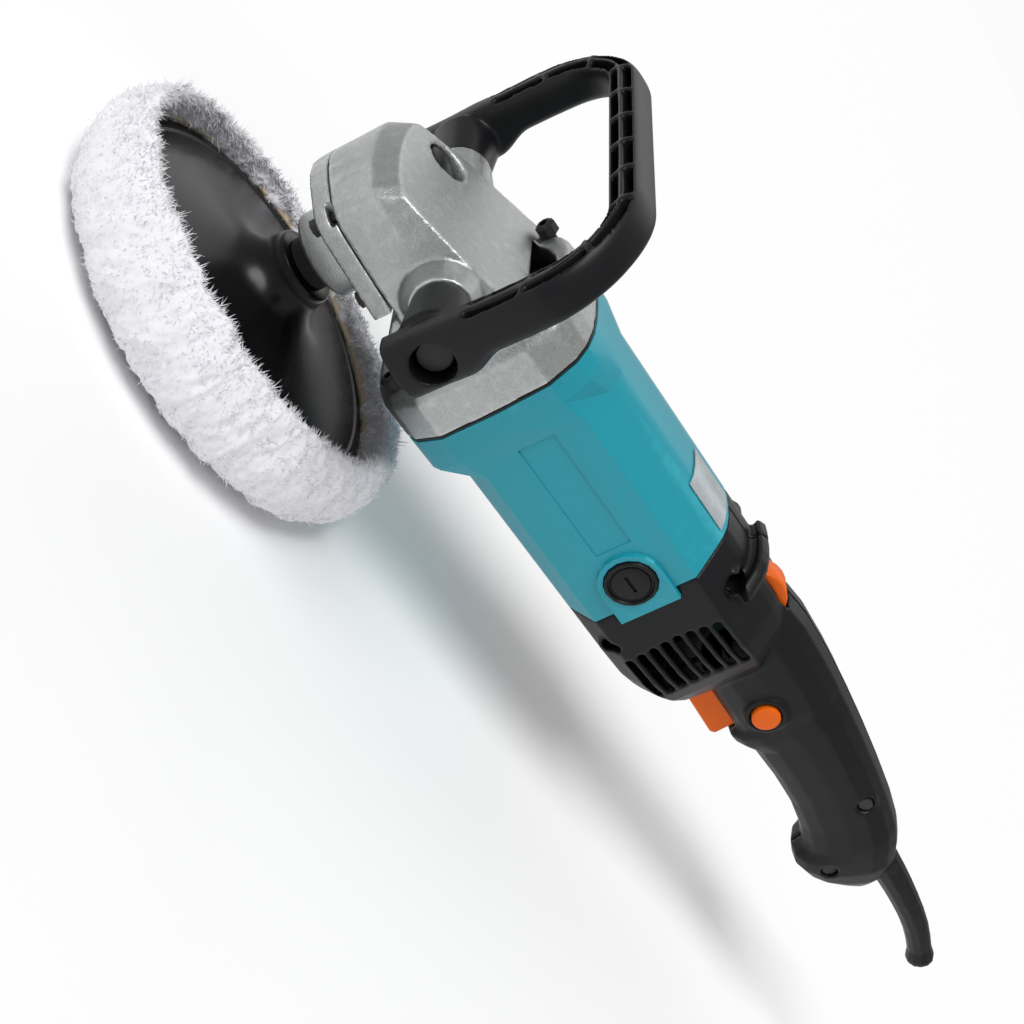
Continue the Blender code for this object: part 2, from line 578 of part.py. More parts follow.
def rotor():
    """Armature shaft and what turns with it."""
    line = (0, 0, MOTOR_Z)
    turned("armature_shaft", [(0, 205.0), (4.0, 205.0), (4.0, 195.6), (5.0, 195.0), (5.0, 32.2), (3.0, 32.1),
                              (3.0, 28.3), (0, 28.3)], line, "X", "steel", 16)
    turned("front_bearing", [(13.0, 46.4), (13.0, 36.4), (5.3, 36.4), (5.3, 46.4)], line, "X", "steel", 20, True)
    turned("rear_bearing", [(11.0, 203.6), (11.0, 196.3), (4.3, 196.3), (4.3, 203.6)], line, "X", "steel", 20, True)
    turned("armature_core", [(21.5, 150.0), (21.5, 95.0), (5.3, 95.0), (5.3, 150.0)], line, "X", "dark_steel", 24,
           True)
    for name, near, far in (("front_winding", 94.7, 84.5), ("rear_winding", 150.3, 161.5)):
        profile = [(20.0, near), (20.0, (near + far) / 2), (15.0, far), (5.4, far), (5.4, near)]
        turned(name, profile if near > far else profile[::-1], line, "X", "copper", 20, True)
    turned("commutator", [(13.0, 186.4), (13.0, 167.0), (14.6, 166.6), (14.6, 164.0), (5.4, 164.0), (5.4, 186.4)],
           line, "X", "copper", 24, True)
    fan = turned("cooling_fan", [(10.0, 72.0), (12.0, 62.0), (34.0, 61.0), (34.0, 59.0), (5.4, 59.0), (5.4, 72.0)],
                 line, "X", "black_plastic", 24, True)
    for i in range(8):
        turn = Matrix.Rotation(2 * math.pi * i / 8, 4, "X")
        blade = box(f"fan_blade_{i}", (60.0, 14.0, -1.0), (71.5, 33.0, 1.0))
        blade.data.transform(Matrix.Translation((0, 0, MOTOR_Z * MM)) @ turn)
        join(fan, blade)


def stator():
    """Laminated field core with two poles, and the saddle coil round each pole."""
    line = (0, 0, MOTOR_Z)
    core = turned("stator_core", [(36.0, 150.0), (36.0, 95.0), (22.6, 95.0), (22.6, 150.0)], line, "X", "dark_steel",
                  24, True)
    for side in (-1, 1):
        window = arc((0, MOTOR_Z), 31.5, -34, 34, 5) + arc((0, MOTOR_Z), 20.0, 30, -30, 3)
        cut(core, outline(f"coil_window_{side}", [(side * y, z) for y, z in window], 90.0, 155.0))
    for name, side in (("upper_field_coil", 1), ("lower_field_coil", -1)):
        band = arc((0, 0), 30.6, 4, 176, 13) + arc((0, 0), 24.2, 176, 4, 13)
        coil_body = outline(name, [(y, MOTOR_Z + side * z) for y, z in band], 84.0, 161.0, "copper")
        low, high = sorted((MOTOR_Z + side * 12.0, MOTOR_Z + side * 40.0))
        cut(coil_body, box(name + "_pole", (94.6, -40, low), (150.4, 40, high)))


def brush_gear():
    """Each side's brush holder, carbon brush, spring and screw-in cap."""
    for side, word in ((-1, "left"), (1, "right")):
        turn = "-Y" if side < 0 else "Y"
        holder = box(f"brush_holder_{word}", (BRUSH_X - 7, min(side * 16, side * 36), MOTOR_Z - 5),
                     (BRUSH_X + 7, max(side * 16, side * 36), MOTOR_Z + 5), "brass")
        cut(holder, box(f"brush_slot_{word}", (BRUSH_X - 5.3, -60, MOTOR_Z - 3.3),
                        (BRUSH_X + 5.3, 60, MOTOR_Z + 3.3)))
        box(f"carbon_brush_{word}", (BRUSH_X - 5, min(side * 13.3, side * 27), MOTOR_Z - 3),
            (BRUSH_X + 5, max(side * 13.3, side * 27), MOTOR_Z + 3), "carbon")
        coil(f"brush_spring_{word}", (BRUSH_X, side * 27.7, MOTOR_Z), (0, side, 0), 2.2, 8.2, 3, 0.4)
        cap = turned(f"brush_cap_{word}", [(0, 43.0), (8.6, 43.0), (8.9, 42.2), (9.8, 42.2), (10.2, 43.6),
                                           (11.2, 43.6), (11.7, 43.0), (11.7, 37.2), (0, 37.2)],
                     (BRUSH_X, 0, MOTOR_Z), turn, "black_plastic", 16)
        cut(cap, box(f"cap_slot_{word}", (BRUSH_X - 4.5, min(side * 41.6, side * 50), MOTOR_Z - 0.7),
                     (BRUSH_X + 4.5, max(side * 41.6, side * 50), MOTOR_Z + 0.7)))


def brush_boss(name, side, grow):
    """The raised round-ended pad that carries a brush cap."""
    radius = 14.6 + grow
    points = arc((BRUSH_X, MOTOR_Z), radius, 90, 270, 11)
    points += [(196.6 + grow, MOTOR_Z - radius), (196.6 + grow, MOTOR_Z + radius)]
    inner, outer = side * 35.5, side * (42.3 + grow)
    return loft(name, [[(x, inner, z) for x, z in points], [(x, outer, z) for x, z in points]])


def motor_housing():
    """Moulded motor body, flared at the front, with a spider at the back for the rear bearing."""
    body = loft("motor_housing", [
        section(MOTOR_X, 45.2, 46.8, FLANGE_SHAPE, FLANGE_Z), section(86.0, 44.8, 46.6, FLANGE_SHAPE, FLANGE_Z, 8.0),
        section(100.0, BODY_HALF_WIDTH, BODY_HALF_HEIGHT, lean=7.0),
        section(MOTOR_END_X, BODY_HALF_WIDTH, BODY_HALF_HEIGHT)], "teal_plastic", 25)
    tail = rod("bearing_tube", (188.0, 0, MOTOR_Z), (205.0, 0, MOTOR_Z), 14.6, sides=24)
    bosses = [brush_boss(f"brush_boss_{side}", side, 0.0) for side in (-1, 1)]
    join(body, tail, *bosses)
    cut(body,
        rod("motor_bore", (70.0, 0, MOTOR_Z), (187.2, 0, MOTOR_Z), 36.6, sides=24),
        rod("bearing_bore", (180.0, 0, MOTOR_Z), (210.0, 0, MOTOR_Z), 11.3, sides=24))
    for side in (-1, 1):
        near = (BRUSH_X, side * 30.0, MOTOR_Z)
        far = (BRUSH_X, side * 50.0, MOTOR_Z)
        cut(body, rod(f"cap_hole_{side}", near, far, 12.1, sides=16))
        cut(body, box(f"side_panel_{side}", (98.0, min(side * 39.3, side * 50), 90.6),
                      (161.0, max(side * 39.3, side * 50), 107.6)))
    for i in range(4):
        turn = math.radians(45 + 90 * i)
        spot = (25.0 * math.cos(turn), MOTOR_Z + 25.0 * math.sin(turn))
        cut(body, rod(f"air_window_{i}", (184.0, *spot), (196.0, *spot), 7.6, sides=8))
    cut(body, *[bpy.data.objects[f"flange_hole_{i}"] for i in range(4)])
    gasket = loft("motor_gasket", [section(75.0, 44.9, 46.5, FLANGE_SHAPE, FLANGE_Z),
                                   section(75.8, 44.9, 46.5, FLANGE_SHAPE, FLANGE_Z)], "black_rubber")
    cut(gasket, rod("gasket_bore", (70.0, 0, MOTOR_Z), (80.0, 0, MOTOR_Z), 38.6, sides=24))
    cut(gasket, *[bpy.data.objects[f"flange_hole_{i}"] for i in range(4)])


def rating_label():
    """Blank film label wrapped over the top of the motor body."""
    def strip(x, rise):
        shares = [(-0.50, 0.9195), (-0.376, 0.967), (-0.2, 0.993), (0.0, 1.0), (0.1, 0.9965)]
        return [(x, y * (BODY_HALF_WIDTH + rise), MOTOR_Z + z * (BODY_HALF_HEIGHT + rise)) for y, z in shares]
    rings = [strip(x, 0.35) + list(reversed(strip(x, 0.85))) for x in (160.0, 188.0)]
    loft("rating_label", rings, "label_film")


# Rear shells and grip

def grip_ring(top_x, top_z, bottom_x, bottom_z, half_width, inset=0.0):
    """One ring of the grip: a rounded section that stands on its top and bottom points."""
    top, bottom = Vector((top_x, top_z)), Vector((bottom_x, bottom_z))
    middle, up = (top + bottom) / 2, (top - bottom) / 2
    up = up * max(0.05, (up.length - inset) / up.length)
    ring = []
    for i in range(16):
        turn = 2 * math.pi * i / 16
        across, rise = math.sin(turn), math.cos(turn)
        across = math.copysign(abs(across) ** 0.8, across)
        rise = math.copysign(abs(rise) ** 0.8, rise)
        spot = middle + up * rise
        ring.append((spot[0], across * (half_width - inset), spot[1]))
    return ring


def barrel_rings(inset):
    """Rings of the shells' barrel, which carries the motor section on and closes it in a dome."""
    rings = [section(SHELL_X - (10.0 if inset else 0.0), BODY_HALF_WIDTH - inset, BODY_HALF_HEIGHT - inset)]
    for x in (222.0, 238.0, 248.0, 256.0, 263.0, 268.0, 272.0):
        if inset and x > 265.0:
            break
        wide = math.sqrt(1 - (max(0.0, x - 222.0) / 52.0) ** 2)
        tall = (1 - (max(0.0, x - 234.0) / 40.0) ** 2.4) ** (1 / 2.4)
        rings.append(section(x, BODY_HALF_WIDTH * wide - inset, BODY_HALF_HEIGHT * tall - inset))
    return rings


def hood_path(x, rise):
    """A route across the top of the barrel, from past the centre line down the left shoulder."""
    shares = [(0.26, 0.985), (0.1, 0.998), (-0.1, 0.998), (-0.25, 0.988), (-0.4, 0.96), (-0.52, 0.91), (-0.65, 0.825),
              (-0.74, 0.765)]
    return [(x, y * (BODY_HALF_WIDTH + rise), MOTOR_Z + z * (BODY_HALF_HEIGHT + rise)) for y, z in shares]


def shell_cutters():
    """Everything that is cut from both shells alike."""
    tools = [loft("barrel_hollow", barrel_rings(WALL)),
             loft("grip_hollow", [grip_ring(*ring, inset=WALL) for ring in GRIP_RINGS[:14]])]
    return tools


def shell_openings():
    """Vents, screw wells, the trigger slot, the dial slot, the air slot and the guard's mouth."""
    tools = [brush_boss(f"boss_room_{side}", side, 0.4) for side in (-1, 1)]
    for side in (-1, 1):
        for i in range(8):
            z = 73.4 + 6.25 * i
            start = 216.0 + 2.5 * abs(i - 4) / 4
            low, high = sorted((side * 26.0, side * 50.0))
            tools.append(box(f"vent_{side}_{i}", (start, low, z - 1.9), (start + 30.0, high, z + 1.9)))
    for name, (x, z, reach) in SCREW_SPOTS.items():
        tools.append(rod(f"well_{name}", (x, -60, z), (x, -14.4, z), 4.3, sides=10))
        tools.append(rod(f"pilot_{name}", (x, -20, z), (x, 12.5, z), 2.1, sides=8))
    tools.append(box("trigger_slot", (273.4, -7.8, 60.0), (303.2, 7.8, 96.0)))
    tools.append(rod("dial_slot", (DIAL[0], DIAL[1] - 7.0, DIAL[2]), (DIAL[0], DIAL[1] + 7.0, DIAL[2]),
                     DIAL_RADIUS + 0.9, sides=24))
    tools.append(tube("air_slot", hood_path(210.4, 2.4), 2.6))
    tools.append(rod("button_bore", (BUTTON[0], -40, BUTTON[1]), (BUTTON[0], -12, BUTTON[1]), 7.2, sides=24))
    tools.append(rod("guard_mouth", (408.0, 0, 103.6), (440.0, 0, 102.9), 9.7, sides=20))
    return tools


def handle_shells():
    """Left and right shells that meet on the centre plane and make barrel, hood and grip."""
    grip = loft("grip_body", [grip_ring(*ring) for ring in GRIP_RINGS])
    hood = tube("hood", hood_path(216.0, 1.5), 5.6)
    button_ring = rod("button_ring", (BUTTON[0], -10.0, BUTTON[1]), (BUTTON[0], -24.2, BUTTON[1]), 11.0, sides=28,
                      end_radius=10.2)
    hollows = shell_cutters()
    wells = [rod(f"screw_post_{name}", (x, -reach, z), (x, reach, z), 6.2, sides=10)
             for name, (x, z, reach) in SCREW_SPOTS.items()]
    openings = shell_openings()
    for word, side in (("left", -1), ("right", 1)):
        shell = loft(f"handle_shell_{word}", barrel_rings(0.0), "black_plastic", 30)
        join(shell, grip, hood)
        if side < 0:
            join(shell, button_ring)
        cut(shell, *hollows)
        join(shell, *wells)
        cut(shell, *openings)
        low, high = sorted((side * GAP / 2, side * -90.0))
        cut(shell, box(f"half_space_{word}", (150.0, low, 0.0), (470.0, high, 200.0)))
    for name, (x, z, reach) in SCREW_SPOTS.items():
        turned(f"shell_screw_{name}", [(0, 17.6), (3.6, 17.4), (3.8, 14.8), (1.8, 14.7), (1.8, -12.0), (0, -12.0)],
               (x, 0, z), "-Y", "dark_steel", 8)


def controls():
    """Trigger, switch, lock-on button, speed dial and its board."""
    points = [(274.2, 73.0), (300.2, 71.6), (302.6, 73.4), (301.8, 81.5), (301.8, 89.0), (275.6, 89.0), (275.6, 80.0)]
    trigger = loft("trigger", [[(x, y, z) for x, z in points] for y in (-7.2, 7.2)], "orange_plastic", None)
    bevel(trigger, 1.0, 2, 40)
    join(trigger, box("trigger_stem", (286.0, -3.0, 88.0), (292.0, 3.0, 104.0)))
    switch = box("power_switch", (270.0, -11.0, 95.0), (316.0, 11.0, 121.0), "black_plastic")
    cut(switch, box("switch_socket", (285.4, -3.6, 90.0), (292.6, 3.6, 111.0)))
    turned("lock_on_button", [(0, 26.2), (5.6, 26.0), (6.8, 25.2), (6.8, 15.6), (0, 15.6)], (BUTTON[0], 0, BUTTON[1]),
           "-Y", "orange_plastic")
    turned("speed_dial", [(DIAL_RADIUS - 0.6, 6.0), (DIAL_RADIUS, 5.0), (DIAL_RADIUS, -5.0), (DIAL_RADIUS - 0.6, -6.0),
                          (2.1, -6.0), (2.1, 6.0)], DIAL, "Y", "orange_plastic", 24, True)
    rod("dial_axle", (DIAL[0], -13.0, DIAL[2]), (DIAL[0], 7.0, DIAL[2]), 1.7, "steel", 12)
    board = box("speed_control_board", (222.0, -15.0, 104.0), (258.0, 12.0, 106.0), "board_green")
    for i, low in enumerate((-15.0, 7.4)):
        join(board, box(f"dial_ear_{i}", (DIAL[0] - 4, low, 105.0), (DIAL[0] + 4, low + 1.6, 132.0)))


def cord_guard():
    """Rubber sleeve that flares at the tip, bored through for the cord, with a collar held by the shells."""
    def sleeve(radii, path):
        rings = []
        for i, ((x, z), radius) in enumerate(zip(path, radii)):
            before, after = path[max(0, i - 1)], path[min(len(path) - 1, i + 1)]
            along = Vector((after[0] - before[0], 0, after[1] - before[1])).normalized()
            up = Vector((-along.z, 0, along.x))
            rings.append([tuple(Vector((x, 0, z)) + radius * (math.cos(a) * up + math.sin(a) * Vector((0, 1, 0))))
                          for a in (2 * math.pi * k / 12 for k in range(12))])
        return rings
    path = GUARD_PATH + [(503.4, 88.5)]
    guard = loft("cord_guard", sleeve([8.8, 8.8, 8.4, 7.9, 7.5, 7.1, 6.8, 6.6, 6.5, 7.6, 7.4], path), "black_rubber")
    first, last = (400.0, 103.5), (509.0, 85.7)
    bore = loft("guard_bore", sleeve([3.9] * (len(path) + 2), [first] + path + [last]))
    collar = turned("guard_collar", [(10.4, 3.6), (10.4, 0.0), (4.5, 0.0), (4.5, 3.6)], (407.0, 0, 103.5), "X",
                    steps=16, ring=True)
    join(guard, collar)
    cut(guard, bore)


def main():
    """Builds every piece."""
    wool_bonnet()
    backing_pad()
    spindle_group()
    bevel_gear()
    pinion()
    gear_cover()
    gear_housing()
    shaft_lock()
    loop_handle()
    rotor()
    stator()
    brush_gear()
    motor_housing()
    rating_label()
    handle_shells()
    controls()
    cord_guard()
    for name, point in (("trigger", (288.0, 0, 88.0)), ("wool_bonnet", (0, 0, 0))):
        set_origin(bpy.data.objects[name], point)


main()
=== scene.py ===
"""Looks of a rotary polisher: wool bonnet, rubber pad, cast head, loop handle, teal motor body and black grip.

Sizes are millimetres in the row's frame: +X back along the motor, +Z up the spindle, -Y the operator's left.
They become metres where a mesh is made.
"""
import json
import math

import bmesh
import bpy
import numpy as np
from mathutils import Matrix, Vector


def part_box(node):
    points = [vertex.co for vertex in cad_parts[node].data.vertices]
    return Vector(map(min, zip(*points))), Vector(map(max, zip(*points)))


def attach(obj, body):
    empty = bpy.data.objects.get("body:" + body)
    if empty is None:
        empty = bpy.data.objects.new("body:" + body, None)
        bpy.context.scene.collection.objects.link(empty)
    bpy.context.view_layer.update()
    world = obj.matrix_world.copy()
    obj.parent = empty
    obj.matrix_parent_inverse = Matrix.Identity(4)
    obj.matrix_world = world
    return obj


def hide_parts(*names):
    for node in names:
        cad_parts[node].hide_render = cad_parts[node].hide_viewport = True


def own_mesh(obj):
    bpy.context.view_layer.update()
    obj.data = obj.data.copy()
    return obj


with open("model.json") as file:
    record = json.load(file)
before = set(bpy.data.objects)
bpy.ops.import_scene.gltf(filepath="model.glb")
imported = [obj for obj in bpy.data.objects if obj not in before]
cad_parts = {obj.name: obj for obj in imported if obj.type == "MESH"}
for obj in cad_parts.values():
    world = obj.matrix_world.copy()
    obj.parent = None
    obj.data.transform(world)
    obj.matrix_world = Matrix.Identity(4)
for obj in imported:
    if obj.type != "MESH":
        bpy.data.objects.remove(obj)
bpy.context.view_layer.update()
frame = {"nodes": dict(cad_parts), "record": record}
NODES = frame["nodes"]
MM = 0.001


def node_box(name):
    """Lowest and highest corner of a CAD node in millimetres."""
    low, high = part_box(name)
    return np.array(low) / MM, np.array(high) / MM


# Driving dimensions. The loop's are those of the CAD handle, and its bow, flare and shift shape the moulding

PAD_RADIUS = node_box("backing_pad")[1][0]
BONNET_DRIFT = 2.5
PIVOT = np.array([19.5, 106.5])
ARM_X = (7.5, 26.0)
ARM_Y = (80.0, 97.5)
LUG_Y = 57.0
BAR_Z = (180.5, 194.5)
CORNER = (20.0, 44.0)
ARM_TAPER = 0.06
ARM_LEAN = 0.06
LOOP_BOW = 4.5
FOOT_FLARE = 3.2
FOOT_SHIFT = 2.4
SEED = 7


# Mesh building

def piece(name, verts, faces):
    """A mesh object from millimetre points and faces, with its faces turned outwards."""
    mesh = bpy.data.meshes.new(name)
    mesh.from_pydata((np.asarray(verts) * MM).tolist(), [], [list(face) for face in faces])
    obj = bpy.data.objects.new(name, mesh)
    bpy.context.scene.collection.objects.link(obj)
    bm = bmesh.new()
    bm.from_mesh(mesh)
    bmesh.ops.recalc_face_normals(bm, faces=bm.faces)
    bm.to_mesh(mesh)
    bm.free()
    mesh.shade_smooth()
    return obj


def grid_faces(rows, columns, closed_rows=False, closed_columns=False):
    """Quads over a rows by columns grid of points, as an array of vertex numbers."""
    row = np.arange(rows if closed_rows else rows - 1)
    column = np.arange(columns if closed_columns else columns - 1)
    i, j = np.meshgrid(row, column, indexing="ij")
    i2, j2 = (i + 1) % rows, (j + 1) % columns
    return np.stack([i * columns + j, i * columns + j2, i2 * columns + j2, i2 * columns + j], -1).reshape(-1, 4)


def skin(name, rings):
    """A tube through closed rings, points shaped (rings, points, 3), with a fan over each end."""
    rings = np.asarray(rings, float)
    count, around = rings.shape[:2]
    verts = rings.reshape(-1, 3)
    faces = grid_faces(count, around, closed_columns=True).tolist()
    verts = np.vstack([verts, rings[0].mean(0), rings[-1].mean(0)])
    step = np.arange(around)
    after = (step + 1) % around
    last = (count - 1) * around
    faces += np.stack([np.full(around, len(verts) - 2), after, step], -1).tolist()
    faces += np.stack([np.full(around, len(verts) - 1), last + step, last + after], -1).tolist()
    return piece(name, verts, faces)


def lathe(name, profile, steps):
    """Turns a closed loop of (radius, height) points about Z: x = r cos a, y = r sin a, z = height."""
    angle = np.linspace(0, 2 * np.pi, steps, endpoint=False)
    r = profile[:, :1]
    rings = np.stack([r * np.cos(angle), r * np.sin(angle), np.repeat(profile[:, 1:], steps, 1)], -1)
    faces = grid_faces(len(profile), steps, closed_rows=True, closed_columns=True)
    return piece(name, rings.reshape(-1, 3), faces.tolist())


def rounded(loop, radius, count=5):
    """A closed 2-D loop whose corners are replaced by arcs of a quadratic curve that starts radius before each."""
    before, after = np.roll(loop, 1, 0), np.roll(loop, -1, 0)
    to_before, to_after = before - loop, after - loop
    reach_before = np.minimum(radius, 0.45 * np.linalg.norm(to_before, axis=1))[:, None]
    reach_after = np.minimum(radius, 0.45 * np.linalg.norm(to_after, axis=1))[:, None]
    start = loop + to_before / np.linalg.norm(to_before, axis=1)[:, None] * reach_before
    end = loop + to_after / np.linalg.norm(to_after, axis=1)[:, None] * reach_after
    t = np.linspace(0, 1, count)[None, :, None]
    curve = (1 - t) ** 2 * start[:, None] + 2 * t * (1 - t) * loop[:, None] + t ** 2 * end[:, None]
    return curve.reshape(-1, 2)


def smooth_line(points, samples):
    """Points evenly spaced on a Catmull-Rom curve through the given points."""
    points = np.asarray(points, float)
    padded = np.vstack([2 * points[0] - points[1], points, 2 * points[-1] - points[-2]])
    t = np.linspace(0, len(points) - 1, samples)
    k = np.minimum(t.astype(int), len(points) - 2)
    f = (t - k)[:, None]
    a, b, c, d = padded[k], padded[k + 1], padded[k + 2], padded[k + 3]
    return 0.5 * (2 * b + (c - a) * f + (2 * a - 5 * b + 4 * c - d) * f ** 2 + (3 * b - a - 3 * c + d) * f ** 3)


def settle(obj):
    """Applies an object's modifiers, and returns it."""
    bpy.context.view_layer.update()
    mesh = bpy.data.meshes.new_from_object(obj.evaluated_get(bpy.context.evaluated_depsgraph_get()))
    obj.modifiers.clear()
    obj.data = mesh
    return obj


def melt(obj, voxel):
    """Adds the modifier that rebuilds a mesh as one closed skin of small voxels."""
    step = obj.modifiers.new("Melt", "REMESH")
    step.mode = "VOXEL"
    step.voxel_size = voxel * MM
    step.use_smooth_shade = True


def relax(obj, passes):
    """Adds the modifier that rounds every edge by smoothing."""
    step = obj.modifiers.new("Relax", "SMOOTH")
    step.factor = 0.5
    step.iterations = passes


def fuse(name, solids, cuts, voxel, passes):
    """Melts overlapping closed solids into one skin, cuts tools out of it, and melts and rounds it again."""
    bm = bmesh.new()
    for solid in solids:
        bm.from_mesh(solid.data)
        bpy.data.objects.remove(solid, do_unlink=True)
    mesh = bpy.data.meshes.new(name)
    bm.to_mesh(mesh)
    bm.free()
    obj = bpy.data.objects.new(name, mesh)
    bpy.context.scene.collection.objects.link(obj)
    melt(obj, voxel)
    settle(obj)
    for tool in cuts:
        step = obj.modifiers.new("Cut", "BOOLEAN")
        step.operation = "DIFFERENCE"
        step.solver = "MANIFOLD"
        step.object = tool
    settle(obj)
    for tool in cuts:
        bpy.data.objects.remove(tool, do_unlink=True)
    melt(obj, voxel)
    relax(obj, passes)
    settle(obj)
    obj.data.shade_smooth()
    return obj


def lattice_noise(u, v, cells_u, cells_v, seed):
    """Smooth noise in -1..1 on a grid of cells that wraps in u, by blending random values at the cell corners."""
    values = np.random.default_rng(seed).uniform(-1, 1, (cells_u, cells_v + 2))
    x, y = u * cells_u, np.clip(v, 0, 1) * cells_v
    i, j = np.floor(x).astype(int), np.floor(y).astype(int)
    fx, fy = x - i, y - j
    fx, fy = fx * fx * (3 - 2 * fx), fy * fy * (3 - 2 * fy)
    i0, i1 = i % cells_u, (i + 1) % cells_u
    top = values[i0, j] * (1 - fx) + values[i1, j] * fx
    bottom = values[i0, j + 1] * (1 - fx) + values[i1, j + 1] * fx
    return top * (1 - fy) + bottom * fy


# Materials

def socket(group, name, direction, value=0.0):
    """Adds a named number socket to a node group."""
    group.interface.new_socket(name, in_out=direction, socket_type="NodeSocketFloat").default_value = value


def link(tree, start, end):
    """Joins an output socket to an input socket."""
    tree.links.new(start, end)


def grain_group():
    """Fine surface grain: a height from two sizes of noise, and a mask of slow blotches."""
    group = bpy.data.node_groups.new("grain", "ShaderNodeTree")
    socket(group, "Fine Scale", "INPUT", value=900.0)
    socket(group, "Coarse Scale", "INPUT", value=60.0)
    socket(group, "Height", "OUTPUT")
    socket(group, "Blotches", "OUTPUT")
    start = group.nodes.new("NodeGroupInput")
    end = group.nodes.new("NodeGroupOutput")
    place = group.nodes.new("ShaderNodeTexCoord")
    fine = group.nodes.new("ShaderNodeTexNoise")
    coarse = group.nodes.new("ShaderNodeTexNoise")
    both = group.nodes.new("ShaderNodeMath")
    both.operation = "MULTIPLY_ADD"
    both.inputs[1].default_value = 0.75
    quarter = group.nodes.new("ShaderNodeMath")
    quarter.operation = "MULTIPLY"
    quarter.inputs[1].default_value = 0.25
    for noise, name in ((fine, "Fine Scale"), (coarse, "Coarse Scale")):
        noise.inputs["Detail"].default_value = 3.0
        link(group, place.outputs["Object"], noise.inputs["Vector"])
        link(group, start.outputs[name], noise.inputs["Scale"])
    link(group, coarse.outputs["Fac"], quarter.inputs[0])
    link(group, fine.outputs["Fac"], both.inputs[0])
    link(group, quarter.outputs[0], both.inputs[2])
    link(group, both.outputs[0], end.inputs["Height"])
    link(group, coarse.outputs["Fac"], end.inputs["Blotches"])
    return group


def edge_highlight_group():
    """Painted edge highlight: a mask that is high on outer edges and broken up by noise, where a paler colour stands
    in for light catching them.
    """
    group = bpy.data.node_groups.new("painted_edge_highlight", "ShaderNodeTree")
    socket(group, "Start", "INPUT", value=0.52)
    socket(group, "End", "INPUT", value=0.62)
    socket(group, "Mask", "OUTPUT")
    start = group.nodes.new("NodeGroupInput")
    end = group.nodes.new("NodeGroupOutput")
    shape = group.nodes.new("ShaderNodeNewGeometry")
    place = group.nodes.new("ShaderNodeTexCoord")
    noise = group.nodes.new("ShaderNodeTexNoise")
    noise.inputs["Scale"].default_value = 220.0
    sway = group.nodes.new("ShaderNodeMath")
    sway.operation = "MULTIPLY_ADD"
    sway.inputs[1].default_value = 0.08
    spread = group.nodes.new("ShaderNodeMapRange")
    link(group, place.outputs["Object"], noise.inputs["Vector"])
    link(group, noise.outputs["Fac"], sway.inputs[0])
    link(group, shape.outputs["Pointiness"], sway.inputs[2])
    link(group, sway.outputs[0], spread.inputs["Value"])
    link(group, start.outputs["Start"], spread.inputs["From Min"])
    link(group, start.outputs["End"], spread.inputs["From Max"])
    link(group, spread.outputs["Result"], end.inputs["Mask"])
    return group


# Colour sockets of a Mix node, by position
MIX_A, MIX_B, MIX_RESULT = 6, 7, 2
RELIEF_DEPTH = 0.3 * MM
GRAIN = grain_group()
EDGE_HIGHLIGHT = edge_highlight_group()


def finish(name, base, edge=None, roughness=0.4, spread=0.08, metallic=0.0, bump=0.1, fine=900.0, coarse=60.0,
           shade=0.12, constants={}, highlight_span=(0.54, 0.60), tint_by="Blotches"):
    """A material with grain in its height and roughness, blotches in its colour, and a paler or brighter edge that is
    a painted highlight.

    Fine and coarse are noise scales per metre, shade is how far the colour swings each way, and the last range is
    the edge sharpness over which the painted edge highlight comes in.
    """
    made = bpy.data.materials.new(name)
    made.use_nodes = True
    tree = made.node_tree
    shader = tree.nodes["Principled BSDF"]
    shader.inputs["Metallic"].default_value = metallic
    for key, value in constants.items():
        shader.inputs[key].default_value = value
    grain = tree.nodes.new("ShaderNodeGroup")
    grain.node_tree = GRAIN
    grain.inputs["Fine Scale"].default_value = fine
    grain.inputs["Coarse Scale"].default_value = coarse
    tint = tree.nodes.new("ShaderNodeMix")
    tint.data_type = "RGBA"
    dark = [channel * (1 - shade) for channel in base]
    light = [min(1.0, channel * (1 + shade)) for channel in base]
    tint.inputs[MIX_A].default_value = (*dark, 1.0)
    tint.inputs[MIX_B].default_value = (*light, 1.0)
    link(tree, grain.outputs[tint_by], tint.inputs[0])
    colour = tint.outputs[MIX_RESULT]
    # Painted highlight: the edge colour on sharp outer edges stands in for light catching them.
    if edge:
        highlight_mask = tree.nodes.new("ShaderNodeGroup")
        highlight_mask.node_tree = EDGE_HIGHLIGHT
        highlight_mask.inputs["Start"].default_value = highlight_span[0]
        highlight_mask.inputs["End"].default_value = highlight_span[1]
        highlighted = tree.nodes.new("ShaderNodeMix")
        highlighted.data_type = "RGBA"
        highlighted.inputs[MIX_B].default_value = (*edge, 1.0)
        link(tree, highlight_mask.outputs["Mask"], highlighted.inputs[0])
        link(tree, colour, highlighted.inputs[MIX_A])
        colour = highlighted.outputs[MIX_RESULT]
    link(tree, colour, shader.inputs["Base Color"])
    rough = tree.nodes.new("ShaderNodeMapRange")
    rough.inputs["To Min"].default_value = roughness - spread
    rough.inputs["To Max"].default_value = roughness + spread
    link(tree, grain.outputs["Height"], rough.inputs["Value"])
    link(tree, rough.outputs["Result"], shader.inputs["Roughness"])
    relief = tree.nodes.new("ShaderNodeBump")
    relief.inputs["Strength"].default_value = bump
    relief.inputs["Distance"].default_value = RELIEF_DEPTH
    link(tree, grain.outputs["Height"], relief.inputs["Height"])
    link(tree, relief.outputs["Normal"], shader.inputs["Normal"])
    return made


